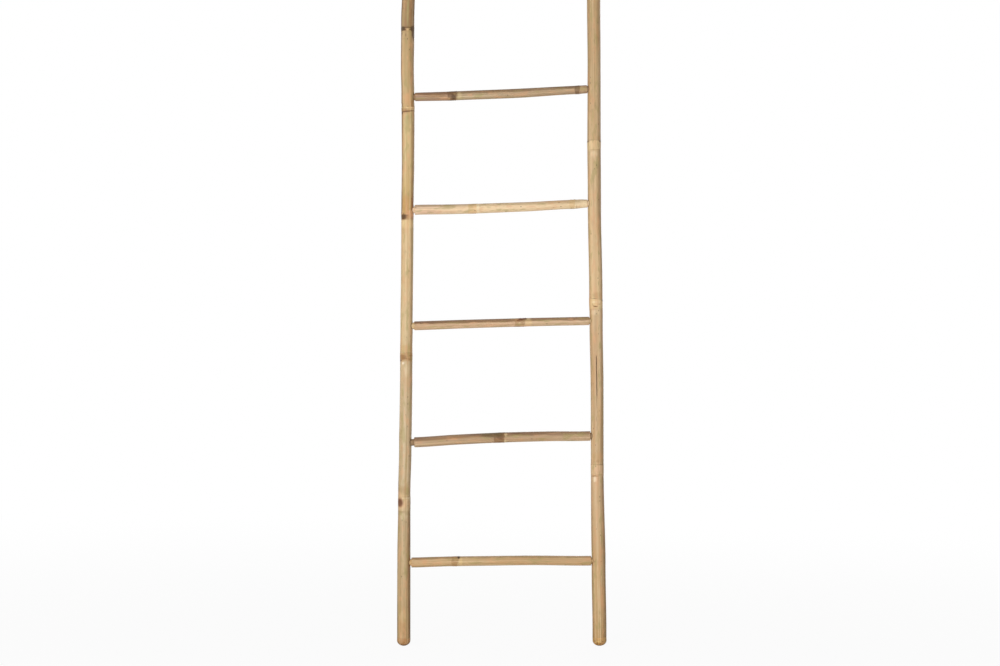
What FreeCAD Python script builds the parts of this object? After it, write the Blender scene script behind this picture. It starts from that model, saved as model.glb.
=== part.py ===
import FreeCAD, Part
import Sketcher
import os

# Blanket ladder of bamboo, in millimetres. X runs to the right, Y to the back and Z up. The origin
# lies on the floor, midway between the outer faces of the two feet. Two culms are the rails. Thinner
# culms, pared to a tenon at both ends, are the rungs. A peg from the back locks every tenon.

# ---------------------------------------------------------------- driving dimensions

LADDER = {
    "base_width": 500,  # over the outer faces of the feet
    "first_rung": 205,  # floor to the lowest rung's level
    "rung_pitch": 279,  # one rung's level to the next
    "tip_overhang": 150,  # top rung's level to the sawn tips
    "sole_diameter": 12,  # flat that a foot stands on
    "foot_straight": 2,  # culm between the rounded sole and the foot's node
    "rim_chamfer": 1.2,  # outer edge of a sawn tip
    "rail_wall": 5,
    "diaphragm": 3,  # wall that closes a culm at each node
}
JOINTS = {
    "seat_length": 26,  # straight piece of rail round a joint
    "tenon_diameter": 16,
    "tenon_past": 6,  # tenon beyond the centre line of the rail
    "tenon_end_gap": 1.5,  # tenon's end to the bottom of its mortise
    "glue_gap": 0.1,  # all round a tenon
    "rung_lumen": 9,
    "shoulder_step": 0.8,  # length over which a shoulder falls to its tenon
    "pare_drop": 2.2,  # off the radius of a rung where its end is pared
    "left_pare": 6,  # length of the pared end
    "right_neck": 0.4,  # shoulder to the skin of the right rail
    "peg_diameter": 3.6,  # over the corners of its eight sides
    "peg_point": 4,  # length of the peg's point
    "peg_taper": 0.6,  # what the point takes off each side
    "peg_proud": 0.4,  # head off the back of the rail
    "peg_gap": 0.05,  # all round a peg
    "peg_tip_gap": 1.5,  # peg's tip to the front wall of the rail
}
PEG_SIDES = 8
STATIONS_APART = 1  # least height between two stations of a culm, so that no ring is a sliver
# Swelling at a node: a lip where the sheath grew, a furrow close above it, and then a round ridge.
NODE_RINGS = {
    "rail_ring_below": 8,
    "rail_ring_above": 15,
    "rail_lip_proud": 0.7,
    "rail_furrow": 1.3,  # lip to furrow
    "rail_furrow_proud": 0.15,
    "rail_ridge_proud": 0.6,
    "rung_ring_below": 5,
    "rung_ring_above": 9,
    "rung_lip_proud": 0.6,
    "rung_furrow": 1,
    "rung_furrow_proud": 0.12,
    "rung_ridge_proud": 0.5,
}
# Lean is how far a tip stands in from its foot. The last internode ends in the sawn tip.
RAILS = {
    "left": {
        "lean": 13,
        "foot_diameter": 31.8,
        "last_sway": 0.3,
        "last_diameter": 30.4,
        "tip_diameter": 30.2,
    },
    "right": {
        "lean": 15.5,
        "foot_diameter": 33.4,
        "last_sway": 0.3,
        "last_diameter": 31.5,
        "tip_diameter": 31.2,
    },
}
# Internodes from the foot up. Sway is how far the middle of one stands in from the chord between its
# nodes. Bow is how far the node above it stands in from the straight line between foot and tip.
INTERNODE_SIZES = ("length", "sway", "diameter", "node_bow", "node_diameter")
INTERNODES = {
    "left": (
        (327, -0.4, 31.6, -1.2, 29.4),
        (344, 0.7, 29.9, 1.1, 29.5),
        (339, 0.3, 29.2, 1.3, 29.5),
        (246, 0.7, 29.9, 1.0, 30.9),
        (198, -1.2, 31.2, -1.3, 31.7),
        (172, 0.2, 31.0, 1.9, 30.6),
    ),
    "right": (
        (413, -0.2, 33.4, 1.6, 30.5),
        (392, -1.2, 31.0, 1.5, 31.9),
        (377, 1.0, 31.7, 2.5, 32.2),
        (358, -0.7, 31.2, 0.5, 32.0),
    ),
}
# Rungs from the floor up. Setting is how far the middle lies above its even level, rise how much
# higher the right end is than the left, arch how far the middle bows up, and belly what the middle
# adds to the thickness. The left neck is the bare tenon between rail and shoulder.
RUNG_SIZES = (
    "setting",
    "rise",
    "arch",
    "left_diameter",
    "right_diameter",
    "belly",
    "left_neck",
    "right_pare",
)
RUNGS = (
    (-4.7, 4.6, 2.5, 23.8, 23.1, -0.5, 1.5, 4),
    (8.5, 16.6, 3.8, 24.3, 23.0, 0.3, 5.5, 4),
    (5.8, 12.8, 1.0, 21.3, 20.0, -0.4, 2.5, 4),
    (5.2, 16.3, -2.6, 23.6, 21.3, 0.2, 1.5, 18),
    (-2.7, 20.0, -2.3, 20.2, 19.5, 2.2, 0.8, 4),
    (-2.0, 8.0, 1.5, 22.6, 21.0, 0.4, 2.0, 5),
)
# Nodes of the rungs, each measured from the pared end that is nearer to it.
RUNG_NODES = (
    (("left", 105.6),),
    (("left", 199.8),),
    (("right", 159.4),),
    (("left", 140.9), ("right", 17),),
    (("left", 82.6), ("right", 24.8),),
    (("left", 176),),
)

# ---------------------------------------------------------------- the document and its sizes

document = FreeCAD.newDocument("blanket_ladder")
sizes = document.addObject("Spreadsheet::Sheet", "Sizes")
layout = document.addObject("App::VarSet", "Layout")


def driving_dimensions():
    """Every driving dimension under the alias of its cell."""
    numbers = {**LADDER, **JOINTS, **NODE_RINGS}
    for side, rail in RAILS.items():
        for name, number in rail.items():
            numbers["%s_%s" % (side, name)] = number
        for count, row in enumerate(INTERNODES[side], start=1):
            for name, number in zip(INTERNODE_SIZES, row):
                numbers["%s_internode_%d_%s" % (side, count, name)] = number
    for count, row in enumerate(RUNGS, start=1):
        for name, number in zip(RUNG_SIZES, row):
            numbers["rung_%d_%s" % (count, name)] = number
        for place, (end, distance) in enumerate(RUNG_NODES[count - 1], start=1):
            numbers["rung_%d_node_%d_from_%s" % (count, place, end)] = distance
    return numbers


def fill_sheet():
    for row, (alias, number) in enumerate(driving_dimensions().items(), start=1):
        cell = "A%d" % row
        sizes.set(cell, str(number))
        sizes.setAlias(cell, alias)
    document.recompute()


def derive(name, expression):
    """Keep a place or length that follows from the sizes, and return the way to refer to it."""
    layout.addProperty("App::PropertyFloat", name, "Layout")
    setattr(layout, name, float(layout.evalExpression(expression)))
    layout.setExpression(name, expression)
    return "Layout." + name


def value(expression):
    return float(layout.evalExpression(expression))


# ---------------------------------------------------------------- sketches and lofts


def origin_plane(body, role):
    return [plane for plane in body.Origin.OriginFeatures if plane.Role == role][0]


def circle(body, name, plane, diameter, place, turn=None):
    """Circle on a plane of its body, moved by expressions along the plane's own axes."""
    sketch = body.newObject("Sketcher::SketchObject", "%s_%s" % (body.Label, name))
    sketch.AttachmentSupport = [(origin_plane(body, plane), "")]
    sketch.MapMode = "FlatFace"
    radius = value(diameter) / 2
    sketch.addGeometry(Part.Circle(FreeCAD.Vector(), FreeCAD.Vector(0, 0, 1), radius), False)
    sketch.addConstraint(Sketcher.Constraint("Coincident", 0, 3, -1, 1))
    size = sketch.addConstraint(Sketcher.Constraint("Diameter", 0, 2 * radius))
    sketch.setExpression("Constraints[%d]" % size, diameter)
    if turn:
        angle = FreeCAD.Rotation(FreeCAD.Vector(1, 0, 0), value(turn))
        sketch.AttachmentOffset = FreeCAD.Placement(FreeCAD.Vector(), angle)
        sketch.setExpression("AttachmentOffset.Rotation.Angle", turn)
    for axis, distance in place.items():
        sketch.setExpression("AttachmentOffset.Base." + axis, distance)
    return sketch


def loft(body, kind, name, stations):
    """Straight-ruled loft through round stations, each a height, an inset and a diameter."""
    rings = []
    for count, (height, inset, diameter) in enumerate(stations, start=1):
        place = {"x": inset, "z": height}
        rings.append(circle(body, "%s_%d" % (name, count), "XY_Plane", diameter, place))
    feature = body.newObject("PartDesign::" + kind, "%s_%s" % (body.Label, name))
    feature.Profile = rings[0]
    feature.Sections = rings[1:]
    feature.Ruled = True
    return feature


def end_face(feature, highest):
    """Name of the highest or lowest face that a feature has."""
    document.recompute()
    levels = [(face.CenterOfMass.z, count) for count, face in enumerate(feature.Shape.Faces, start=1)]
    return "Face%d" % (max(levels) if highest else min(levels))[1]


def round_sole(body, stub, radius):
    """Fillet round the lower face of a foot."""
    fillet = body.newObject("PartDesign::Fillet", body.Label + "_sole")
    fillet.Base = (stub, [end_face(stub, highest=False)])
    fillet.Radius = value(radius)
    fillet.setExpression("Radius", radius)


def bore(body, name, sketch, outward, backward=None, reverse=False):
    """Pocket from a round sketch: outward on one side of it, and backward on the other."""
    pocket = body.newObject("PartDesign::Pocket", "%s_%s" % (body.Label, name))
    pocket.Profile = sketch
    pocket.Reversed = reverse
    if backward:
        pocket.SideType = "Two sides"
        pocket.setExpression("Length2", backward)
    pocket.setExpression("Length", outward)
    return pocket


def ring_stations(kind, height, inset, diameter):
    """Stations of the swelling round a node: lip, furrow and ridge over the culm's skin."""
    swelling = (
        ("-Sizes.{0}_ring_below", "0"),
        ("0", "Sizes.{0}_lip_proud"),
        ("Sizes.{0}_furrow", "Sizes.{0}_furrow_proud"),
        ("Sizes.{0}_ring_above / 2", "Sizes.{0}_ridge_proud"),
        ("Sizes.{0}_ring_above", "0"),
    )
    stations = []
    for along, proud in swelling:
        level = "%s + (%s)" % (height, along.format(kind))
        stations.append((level, inset, "%s + 2 * %s" % (diameter, proud.format(kind))))
    return stations


# ---------------------------------------------------------------- where everything stands


class Knot:
    """Named point of a rail's centre line: its height, its inset from the foot and its thickness."""

    def __init__(self, name, height, inset, diameter, is_node=False):
        self.height = derive(name + "_height", height)
        self.inset = derive(name + "_inset", inset)
        self.diameter = derive(name + "_diameter", diameter)
        self.is_node = is_node


def middle_knot(side, name, below, above, sizes_name):
    height = "(%s + %s) / 2" % (below.height, above.height)
    inset = "(%s + %s) / 2 + Sizes.%s_sway" % (below.inset, above.inset, sizes_name)
    return Knot("%s_%s" % (side, name), height, inset, "Sizes.%s_diameter" % sizes_name)


def rail_knots(side):
    """Foot node, middle of each internode, each node below the saw cut, and the tip."""
    rounding = derive(side + "_rounding", "(Sizes.%s_foot_diameter - Sizes.sole_diameter) / 2" % side)
    leaning = "Sizes.%s_lean * %%s / Layout.tip_height" % side
    foot_height = "%s + Sizes.foot_straight + Sizes.rail_ring_below" % rounding
    foot_size = "Sizes.%s_foot_diameter" % side
    knots = [Knot(side + "_node_0", foot_height, leaning % ("(%s)" % foot_height), foot_size, True)]
    for count in range(1, len(INTERNODES[side]) + 1):
        size = "%s_internode_%d" % (side, count)
        height = "%s + Sizes.%s_length" % (knots[-1].height, size)
        room = value("Layout.tip_height - (%s) - 2 * Sizes.rail_ring_above" % height)
        if room < 0:
            break
        inset = leaning % ("(%s)" % height) + " + Sizes.%s_node_bow" % size
        node = Knot("%s_node_%d" % (side, count), height, inset, "Sizes.%s_node_diameter" % size, True)
        knots.append(middle_knot(side, "middle_%d" % count, knots[-1], node, size))
        knots.append(node)
    tip = Knot(side + "_tip", "Layout.tip_height", "Sizes.%s_lean" % side, "Sizes.%s_tip_diameter" % side)
    knots.append(middle_knot(side, "middle_last", knots[-1], tip, side + "_last"))
    knots.append(tip)
    return knots


def joint_on_rail(side, count, knots):
    """Where rung number count crosses the centre line of a rail, and the rail's thickness there."""
    name = "%s_joint_%d" % (side, count)
    half_rise = "%s Sizes.rung_%d_rise / 2" % ("-" if side == "left" else "+", count)
    level = "Sizes.first_rung + %d * Sizes.rung_pitch + Sizes.rung_%d_setting" % (count - 1, count)
    height = derive(name + "_height", "%s %s" % (level, half_rise))
    above = [knot for knot in knots if value(knot.height) > value(height)][0]
    below = knots[knots.index(above) - 1]
    share = "(%s - %s) / (%s - %s)" % (height, below.height, above.height, below.height)
    between = "{0} + ({1} - {0}) * " + share
    inset = derive(name + "_inset", between.format(below.inset, above.inset))
    derive(name + "_radius", "(%s) / 2" % between.format(below.diameter, above.diameter))
    outward = "(Sizes.base_width - Sizes.%s_foot_diameter) / 2 - %s" % (side, inset)
    derive(name + "_across", "%s(%s)" % ("-" if side == "left" else "", outward))


def lay_out_rung(count):
    """Length and tilt of a rung between the two centre lines, and the ends of its full thickness."""
    rung = "rung_%d" % count
    across = "Layout.right_joint_{0}_across - Layout.left_joint_{0}_across".format(count)
    span = derive(rung + "_span", across)
    length = derive(rung + "_length", "sqrt(%s ^ 2 + Sizes.%s_rise ^ 2)" % (span, rung))
    derive(rung + "_tilt", "atan(Sizes.%s_rise / %s) / 1 deg" % (rung, span))
    derive(rung + "_left_shoulder", "Layout.left_joint_%d_radius + Sizes.%s_left_neck" % (count, rung))
    right_shoulder = "%s - Layout.right_joint_%d_radius - Sizes.right_neck" % (length, count)
    derive(rung + "_right_shoulder", right_shoulder)
    full_from = derive(rung + "_full_from", "Layout.%s_left_shoulder + Sizes.left_pare" % rung)
    right_end = "Layout.%s_right_shoulder - Sizes.%s_right_pare" % (rung, rung)
    full_to = derive(rung + "_full_to", right_end)
    starts = {"left": full_from + " + ", "right": full_to + " - "}
    for place, (end, distance) in enumerate(RUNG_NODES[count - 1], start=1):
        size = "Sizes.%s_node_%d_from_%s" % (rung, place, end)
        derive("%s_node_%d" % (rung, place), starts[end] + size)


# ---------------------------------------------------------------- the pieces


def inside_internode(side, middle, low, high):
    """Stations between two heights of one internode: its middle, and the straight seat of each joint."""
    stations = [(middle.height, middle.inset, middle.diameter)]
    for count in range(1, len(RUNGS) + 1):
        joint = "Layout.%s_joint_%d_" % (side, count)
        for end in ("-", "+"):
            level = "%sheight %s Sizes.seat_length / 2" % (joint, end)
            stations.append((level, joint + "inset", "2 * %sradius" % joint))
    lowest = value(low) + STATIONS_APART
    highest = value(high) - STATIONS_APART
    free = [station for station in stations if lowest < value(station[0]) < highest]
    return sorted(free, key=lambda station: value(station[0]))


def rail_skin(side, internodes, stub_top):
    """Stations of a rail's skin from the top of its foot to the sawn tip."""
    foot = internodes[0][0]
    stations = [(stub_top, "0", foot.diameter)]
    stations += ring_stations("rail", foot.height, foot.inset, foot.diameter)[1:]
    for below, middle, above in internodes:
        if above.is_node:
            end = ring_stations("rail", above.height, above.inset, above.diameter)
        else:
            end = [
                ("%s - Sizes.rim_chamfer" % above.height, above.inset, above.diameter),
                (above.height, above.inset, "%s - 2 * Sizes.rim_chamfer" % above.diameter),
            ]
        start = "%s + Sizes.rail_ring_above" % below.height
        stations += inside_internode(side, middle, start, end[0][0]) + end
    return stations


def rail_lumen(side, below, middle, above):
    """Stations of the hollow between two nodes, or between the last node and the open tip."""
    floor = "%s + Sizes.diaphragm / 2" % below.height
    ceiling = "%s - Sizes.diaphragm / 2" % above.height
    if not above.is_node:
        ceiling = "%s + Sizes.rim_chamfer" % above.height
    stations = [(floor, below.inset, below.diameter)]
    stations += inside_internode(side, middle, floor, ceiling)
    stations.append((ceiling, above.inset, above.diameter))
    return [(level, inset, size + " - 2 * Sizes.rail_wall") for level, inset, size in stations]


def make_rail(side, knots):
    """Hollow culm with a domed foot, a mortise for every rung and a hole for every peg."""
    body = document.addObject("PartDesign::Body", side + "_rail")
    inward = 1 if side == "left" else -1
    half_turn = FreeCAD.Rotation(FreeCAD.Vector(0, 0, 1), 0 if side == "left" else 180)
    body.Placement = FreeCAD.Placement(FreeCAD.Vector(), half_turn)
    place = "%d * (Sizes.base_width - Sizes.%s_foot_diameter) / 2" % (-inward, side)
    body.setExpression("Placement.Base.x", place)

    foot_size = "Sizes.%s_foot_diameter" % side
    rounding = "Layout.%s_rounding" % side
    stub_top = "%s + Sizes.foot_straight" % rounding
    stub = body.newObject("PartDesign::Pad", body.Label + "_foot")
    stub.Profile = circle(body, "foot_ring", "XY_Plane", foot_size, {})
    stub.setExpression("Length", stub_top)
    round_sole(body, stub, rounding)

    internodes = [knots[at:at + 3] for at in range(0, len(knots) - 2, 2)]
    loft(body, "AdditiveLoft", "skin", rail_skin(side, internodes, stub_top))
    for count, internode in enumerate(internodes, start=1):
        loft(body, "SubtractiveLoft", "lumen_%d" % count, rail_lumen(side, *internode))

    for count in range(1, len(RUNGS) + 1):
        joint = "Layout.%s_joint_%d_" % (side, count)
        tilt = "%d * Layout.rung_%d_tilt" % (-inward, count)
        mortise = circle(
            body,
            "mortise_ring_%d" % count,
            "YZ_Plane",
            "Sizes.tenon_diameter + 2 * Sizes.glue_gap",
            {"y": joint + "height", "z": joint + "inset"},
            tilt,
        )
        past_centre = "Sizes.tenon_past + Sizes.tenon_end_gap"
        through_wall = "2 * %sradius" % joint
        bore(body, "mortise_%d" % count, mortise, past_centre, through_wall)
    bore(body, "peg_holes", peg_rings(body, side), "Sizes.%s_foot_diameter" % side, reverse=side == "right")
    return body


def peg_rings(body, side):
    """One sketch of all peg holes of a rail, on the plane through its centre line."""
    sketch = body.newObject("Sketcher::SketchObject", body.Label + "_peg_rings")
    sketch.AttachmentSupport = [(origin_plane(body, "XZ_Plane"), "")]
    sketch.MapMode = "FlatFace"
    size = "Sizes.peg_diameter + 2 * Sizes.peg_gap"
    for index in range(len(RUNGS)):
        joint = "Layout.%s_joint_%d_" % (side, index + 1)
        centre = FreeCAD.Vector(value(joint + "inset"), value(joint + "height"), 0)
        hole = Part.Circle(centre, FreeCAD.Vector(0, 0, 1), value(size) / 2)
        sketch.addGeometry(hole, False)
        bound = (("DistanceX", joint + "inset"), ("DistanceY", joint + "height"))
        for kind, distance in bound:
            constraint = Sketcher.Constraint(kind, -1, 1, index, 3, value(distance))
            sketch.setExpression("Constraints[%d]" % sketch.addConstraint(constraint), distance)
        diameter = sketch.addConstraint(Sketcher.Constraint("Diameter", index, value(size)))
        sketch.setExpression("Constraints[%d]" % diameter, size)
    return sketch


def rung_stations(count):
    """Stations of a rung's skin, and the places of its nodes, along its own axis."""
    rung = "Sizes.rung_%d_" % count
    full_from = "Layout.rung_%d_full_from" % count
    full_to = "Layout.rung_%d_full_to" % count
    places = range(1, len(RUNG_NODES[count - 1]) + 1)
    nodes = ["Layout.rung_%d_node_%d" % (count, place) for place in places]

    def sag(along):
        share = "((%s) - %s) / (%s - %s)" % (along, full_from, full_to, full_from)
        return "4 * {0} * (1 - {0})".format("(%s)" % share), share

    def skin(along, swelling=None):
        hump, share = sag(along)
        size = "{0}left_diameter + ({0}right_diameter - {0}left_diameter) * {1} + {0}belly * {2}"
        diameter = size.format(rung, share, hump)
        return (along, "-%sarch * %s" % (rung, hump), diameter)

    tenon = "Sizes.tenon_diameter"
    shoulders = ("Layout.rung_%d_left_shoulder" % count, "Layout.rung_%d_right_shoulder" % count)
    pared = "%s%s_diameter - 2 * Sizes.pare_drop"
    stations = [
        ("-Sizes.tenon_past", "0", tenon),
        (shoulders[0], "0", tenon),
        (shoulders[0] + " + Sizes.shoulder_step", "0", pared % (rung, "left")),
        skin(full_from),
    ]
    last = full_from
    for node in nodes:
        ring = ring_stations("rung", *skin(node))
        stations.append(skin("(%s + %s) / 2" % (last, ring[0][0])))
        stations += ring
        last = ring[-1][0]
    stations += [
        skin("(%s + %s) / 2" % (last, full_to)),
        skin(full_to),
        (shoulders[1] + " - Sizes.shoulder_step", "0", pared % (rung, "right")),
        (shoulders[1], "0", tenon),
        ("Layout.rung_%d_length + Sizes.tenon_past" % count, "0", tenon),
    ]
    return stations, nodes, skin


def make_rung(count):
    """Hollow culm between the rails: pared shoulders, tenons, nodes and the holes of two pegs."""
    body = document.addObject("PartDesign::Body", "rung_%d" % count)
    tilt = "90 - Layout.rung_%d_tilt" % count
    upright = FreeCAD.Rotation(FreeCAD.Vector(0, 1, 0), value(tilt))
    body.Placement = FreeCAD.Placement(FreeCAD.Vector(), upright)
    body.setExpression("Placement.Base.x", "Layout.left_joint_%d_across" % count)
    body.setExpression("Placement.Base.z", "Layout.left_joint_%d_height" % count)
    body.setExpression("Placement.Rotation.Angle", tilt)

    stations, nodes, skin = rung_stations(count)
    loft(body, "AdditiveLoft", "skin", stations)
    length = "Layout.rung_%d_length" % count
    past_end = "(Sizes.tenon_past + Sizes.shoulder_step)"
    shoulder = "Layout.rung_%d_left_shoulder" % count
    walls = [("-" + past_end, "0"), (shoulder, "0")]
    for node in nodes:
        inset = skin(node)[1]
        walls.append(("%s - Sizes.diaphragm / 2" % node, inset))
        walls.append(("%s + Sizes.diaphragm / 2" % node, inset))
    walls.append(("Layout.rung_%d_right_shoulder" % count, "0"))
    walls.append(("%s + %s" % (length, past_end), "0"))
    cuts = [walls[:3]] + [walls[at:at + 2] for at in range(3, len(walls) - 3, 2)] + [walls[-3:]]
    for place, cut in enumerate(cuts, start=1):
        hollow = [(level, inset, "Sizes.rung_lumen") for level, inset in cut]
        loft(body, "SubtractiveLoft", "lumen_%d" % place, hollow)

    for side, along in (("left", "0"), ("right", length)):
        size = "Sizes.peg_diameter + 2 * Sizes.peg_gap"
        hole = circle(body, side + "_peg_ring", "XZ_Plane", size, {"y": along})
        bore(body, side + "_peg_hole", hole, "Sizes.tenon_diameter", "Sizes.tenon_diameter")
    return body


def make_peg(side, count):
    """Eight-sided peg driven from the back through the rail's wall and the tenon."""
    body = document.addObject("PartDesign::Body", "%s_peg_%d" % (side, count))
    radius = "Layout.%s_joint_%d_radius" % (side, count)
    facing_front = FreeCAD.Rotation(FreeCAD.Vector(1, 0, 0), 90)
    body.Placement = FreeCAD.Placement(FreeCAD.Vector(), facing_front)
    body.setExpression("Placement.Base.x", "Layout.%s_joint_%d_across" % (side, count))
    body.setExpression("Placement.Base.y", radius + " + Sizes.peg_proud")
    body.setExpression("Placement.Base.z", "Layout.%s_joint_%d_height" % (side, count))
    length = "2 * %s + Sizes.peg_proud - Sizes.rail_wall - Sizes.peg_tip_gap" % radius
    shank = body.newObject("PartDesign::AdditivePrism", body.Label + "_shank")
    shank.Polygon = PEG_SIDES
    shank.setExpression("Circumradius", "Sizes.peg_diameter / 2")
    shank.setExpression("Height", length)
    point = body.newObject("PartDesign::Chamfer", body.Label + "_point")
    point.Base = (shank, [end_face(shank, highest=True)])
    point.ChamferType = "Two distances"
    point.setExpression("Size", "Sizes.peg_point")
    point.setExpression("Size2", "Sizes.peg_taper")
    return body


# ---------------------------------------------------------------- build, check and write


def build():
    fill_sheet()
    top_level = "Sizes.first_rung + %d * Sizes.rung_pitch" % (len(RUNGS) - 1)
    derive("tip_height", "%s + Sizes.tip_overhang" % top_level)
    knots = {side: rail_knots(side) for side in RAILS}
    numbers = range(1, len(RUNGS) + 1)
    for count in numbers:
        for side in RAILS:
            joint_on_rail(side, count, knots[side])
        lay_out_rung(count)
    document.recompute()
    pieces = [make_rail(side, knots[side]) for side in RAILS]
    pieces += [make_rung(count) for count in numbers]
    pieces += [make_peg(side, count) for side in RAILS for count in numbers]
    document.recompute()
    return pieces


def check(pieces):
    """Stop at a failed object, at a cut that removed nothing and at a piece that isn't one solid."""
    for item in document.Objects:
        if "Invalid" in item.State or "Error" in item.State:
            raise RuntimeError("%s did not build: %s" % (item.Name, item.State))
        if item.TypeId in ("PartDesign::Pocket", "PartDesign::SubtractiveLoft"):
            if item.Shape.Volume >= item.BaseFeature.Shape.Volume - 1:
                raise RuntimeError("%s cuts nothing" % item.Name)
    for piece in pieces:
        shape = piece.Shape
        if shape.isNull() or not shape.isValid() or len(shape.Solids) != 1:
            raise RuntimeError("%s is not one sound solid" % piece.Label)


def write(pieces):
    os.makedirs("parts", exist_ok=True)
    for piece in pieces:
        piece.Shape.exportStep("parts/%s.step" % piece.Label)
        box = piece.Shape.BoundBox
        print("%-13s %7.1f x %6.1f x %7.1f mm" % (piece.Label, box.XLength, box.YLength, box.ZLength))


ladder = build()
check(ladder)
write(ladder)
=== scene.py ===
"""The bamboo blanket ladder as it looks: two rails, six rungs let into them, and the pegs that hold each rung.

Each culm is grown here over its own solid in the frame, so its line, thickness and knots stay where the frame has
them, and it gets the skin, the sheath scars, the whittled ends and the weather marks of real bamboo.
"""

import math

import bpy
import numpy as np
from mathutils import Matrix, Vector, noise


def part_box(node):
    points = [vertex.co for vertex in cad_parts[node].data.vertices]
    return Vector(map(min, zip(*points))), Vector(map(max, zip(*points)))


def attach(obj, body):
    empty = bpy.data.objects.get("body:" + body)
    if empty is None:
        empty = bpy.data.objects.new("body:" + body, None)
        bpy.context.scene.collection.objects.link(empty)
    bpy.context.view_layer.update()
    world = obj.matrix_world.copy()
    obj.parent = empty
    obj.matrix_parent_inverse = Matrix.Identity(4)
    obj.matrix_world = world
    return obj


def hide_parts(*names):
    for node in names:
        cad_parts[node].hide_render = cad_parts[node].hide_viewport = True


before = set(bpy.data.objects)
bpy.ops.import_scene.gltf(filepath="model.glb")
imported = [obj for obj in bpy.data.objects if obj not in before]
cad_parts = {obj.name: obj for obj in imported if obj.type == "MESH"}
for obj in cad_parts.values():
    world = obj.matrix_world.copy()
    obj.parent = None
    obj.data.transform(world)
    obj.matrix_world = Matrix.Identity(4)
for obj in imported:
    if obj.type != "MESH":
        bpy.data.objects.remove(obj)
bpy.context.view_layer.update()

MM = 0.001
RAILS = ("left_rail", "right_rail")
RUNGS = ("rung_1", "rung_2", "rung_3", "rung_4", "rung_5", "rung_6")
CULMS = RAILS + RUNGS
# How a culm is drawn: points round it, and the widest and the narrowest step along it.
AROUND = {"rail": 96, "rung": 80}
LONG_STEP = {"rail": 5 * MM, "rung": 3.5 * MM}
FINE_STEP = 0.45 * MM
STEP_GROWTH = 0.25


# ---- colours


def paint(colour):
    """The light values that the shaders use, for a colour as it is mixed on a screen, 0 to 255."""
    parts = np.array(colour) / 255
    return np.where(parts <= 0.04045, parts / 12.92, ((parts + 0.055) / 1.055) ** 2.4)


CREAM = (240, 214, 168)
STRAW = (222, 194, 148)
GOLDEN = (210, 176, 124)
KNOT_BROWN = (146, 100, 54)
DARK_BROWN = (88, 56, 26)
# the rails' sides: partly their own colour, partly painted shade
EDGE_BROWN_AND_SHADE = (134, 94, 54)
EDGE_OLIVE = (146, 126, 74)
# the rungs' tops: partly weathering, partly painted shade
TOP_WEATHER_AND_SHADE_BROWN = (120, 84, 60)
RIDGE_WEATHER_AND_SHADE_BROWN = (112, 78, 60)
FOOT_ORANGE = (178, 128, 76)
FRESH_CUT = (236, 210, 166)
PALE = (246, 224, 182)
ORANGE = (208, 150, 96)
OLIVE = (170, 158, 104)
PINK = (216, 170, 140)

# The tone of each internode from the foot up, or from left to right.
INTERNODE_TONES = {
    "left_rail": (
        ((168, 124, 78), (176, 136, 90)),
        ((174, 142, 94), (192, 168, 130)),
        ((204, 182, 144), (206, 180, 140)),
        ((209, 182, 138), (220, 190, 142)),
        ((204, 170, 110), (200, 174, 122)),
        ((190, 160, 110), (184, 154, 108)),
        ((157, 123, 84), (148, 116, 80)),
        ((158, 126, 88), (166, 134, 96)),
    ),
    "right_rail": (
        ((198, 150, 80), (200, 156, 90)),
        ((186, 148, 94), (212, 180, 140)),
        ((200, 168, 125), (200, 166, 126)),
        ((216, 183, 136), (205, 173, 131)),
        ((201, 170, 127), (187, 155, 110)),
        ((183, 151, 106), (178, 146, 102)),
    ),
    "rung_1": (((198, 162, 116), (200, 166, 120)), ((206, 174, 128), (200, 164, 120))),
    "rung_2": (((186, 156, 124), (182, 150, 116)), ((188, 156, 122), (196, 164, 130))),
    "rung_3": (((212, 176, 140), (206, 170, 135)), ((210, 178, 143), (212, 180, 145))),
    "rung_4": (
        ((230, 198, 170), (236, 207, 166)),
        ((240, 211, 170), (236, 207, 165)),
        ((242, 216, 175), (244, 220, 180)),
    ),
    "rung_5": (
        ((168, 136, 112), (160, 126, 100)),
        ((186, 162, 128), (168, 138, 108)),
        ((172, 140, 110), (170, 140, 112)),
    ),
    "rung_6": (((200, 168, 126), (206, 174, 132)), ((214, 184, 140), (204, 172, 130))),
}


# How each rung looks beside its tones: the length of the rounding at its left end in mm and how much of that is
# flat facets, the tone of its bare tenon, how dark its upper side is, partly weathered and partly painted shade,
# and how far down its side that reaches, 1 at the very top.
RUNG_LOOKS = {
    "rung_1": (3.4, 1.0, (214, 178, 124), 0.4, 0.6),
    "rung_2": (4.2, 0.9, (122, 92, 62), 0.7, 0.3),
    "rung_3": (3.2, 0.8, (216, 188, 140), 0.95, 0.27),
    "rung_4": (3.6, 0.8, (228, 194, 158), 0.3, 0.62),
    "rung_5": (0.9, 0.2, (128, 94, 62), 0.7, 0.3),
    "rung_6": (3.0, 0.8, (206, 172, 124), 0.5, 0.5),
}
# How brown the two edges of each internode of a rail are, left and right: partly their own colour, partly painted
# shade.
EDGE_SHARES = {
    "left_rail": (
        (0.4, 0.6), (0.4, 1.0), (0.3, 0.4), (0.25, 0.4), (0.95, 0.85), (0.85, 0.6), (1.05, 0.7), (0.8, 0.7),
    ),
    "right_rail": ((0.4, 0.5), (0.45, 0.7), (0.35, 0.45), (0.3, 0.5), (0.4, 0.45), (0.5, 0.5)),
}


# ---- the culms as the frame has them


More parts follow.
